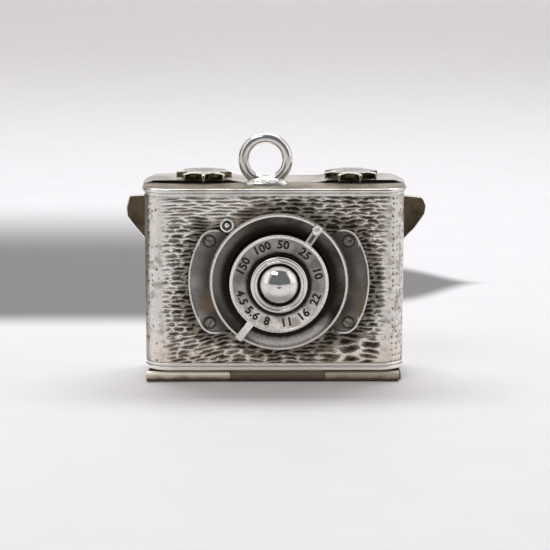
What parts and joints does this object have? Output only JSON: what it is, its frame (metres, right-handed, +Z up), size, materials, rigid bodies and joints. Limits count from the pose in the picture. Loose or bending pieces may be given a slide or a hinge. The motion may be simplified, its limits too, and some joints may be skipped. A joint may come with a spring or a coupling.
{
  "type": "camera shaped locket charm",
  "caption": "Silver camera-shaped charm whose front cover hinges forward on pictures inside, with a turning number dial, winding knobs and a bail.",
  "frame": {"origin": "underside of the base plate, in the middle of the width, in the seam between the front cover and the case", "axes": "+X to the right of someone facing the lens, -Y the way the lens looks, +Z up"},
  "size_m": [0.0257, 0.0104, 0.021],
  "materials": {
    "struck_silver": "struck silver with a bark texture, dark in the hollows and bright on the ridges",
    "plain_silver": "smooth silver, lightly tarnished",
    "dark_silver": "oxidised silver with bright edges",
    "bright_silver": "polished silver",
    "solder": "lumpy bright solder",
    "ear_silver": "smooth silver, dark brown with tarnish",
    "pin_metal": "drawn silver wire",
    "tray_metal": "thin satin sheet",
    "clear_window": "thin clear film",
    "print_paper": "aged matt print"
  },
  "bodies": {
    "case": {"rear_shell": "struck_silver", "base_plate": "plain_silver", "case_knuckle_left": "plain_silver", "case_knuckle_right": "plain_silver", "hinge_pin": "pin_metal", "top_plate": "plain_silver", "ear_frame_plate": "ear_silver", "closing_rim": "ear_silver", "case_window": "clear_window", "case_photo": "print_paper", "case_tray": "tray_metal", "knob_rivet_left": "pin_metal", "knob_rivet_right": "pin_metal"},
    "cover": {"cover_shell": "struck_silver", "cover_knuckle": "plain_silver", "lens_board": "dark_silver", "board_screws": "dark_silver", "shutter_ring": "dark_silver", "lens_drum": "dark_silver", "lens_bezel": "bright_silver", "lens_dome": "bright_silver", "flash_socket": "plain_silver", "flash_socket_pin": "plain_silver", "bail_ring": "bright_silver", "bail_solder_foot": "solder", "cover_frame": "plain_silver", "cover_window": "clear_window", "cover_photo": "print_paper", "cover_tray": "tray_metal"},
    "dial": {"number_dial": "plain_silver"},
    "left_knob": {"knob_left": "plain_silver"},
    "right_knob": {"knob_right": "plain_silver"}
  },
  "joints": [
    {"name": "cover_hinge", "type": "hinge", "parent": "case", "child": "cover", "pos_m": [0, -0.0034, 0.00044], "axis": [1, 0, 0], "range_deg": [0, 100]},
    {"name": "dial_turn", "type": "hinge", "parent": "cover", "child": "dial", "pos_m": [0.00037, -0.0047, 0.0087], "axis": [0, -1, 0], "continuous": true},
    {"name": "left_knob_turn", "type": "hinge", "parent": "case", "child": "left_knob", "pos_m": [-0.006, 0.00105, 0.01689], "axis": [0, 0, 1], "continuous": true},
    {"name": "right_knob_turn", "type": "hinge", "parent": "case", "child": "right_knob", "pos_m": [0.0066, 0.00105, 0.01689], "axis": [0, 0, 1], "continuous": true}
  ]
}
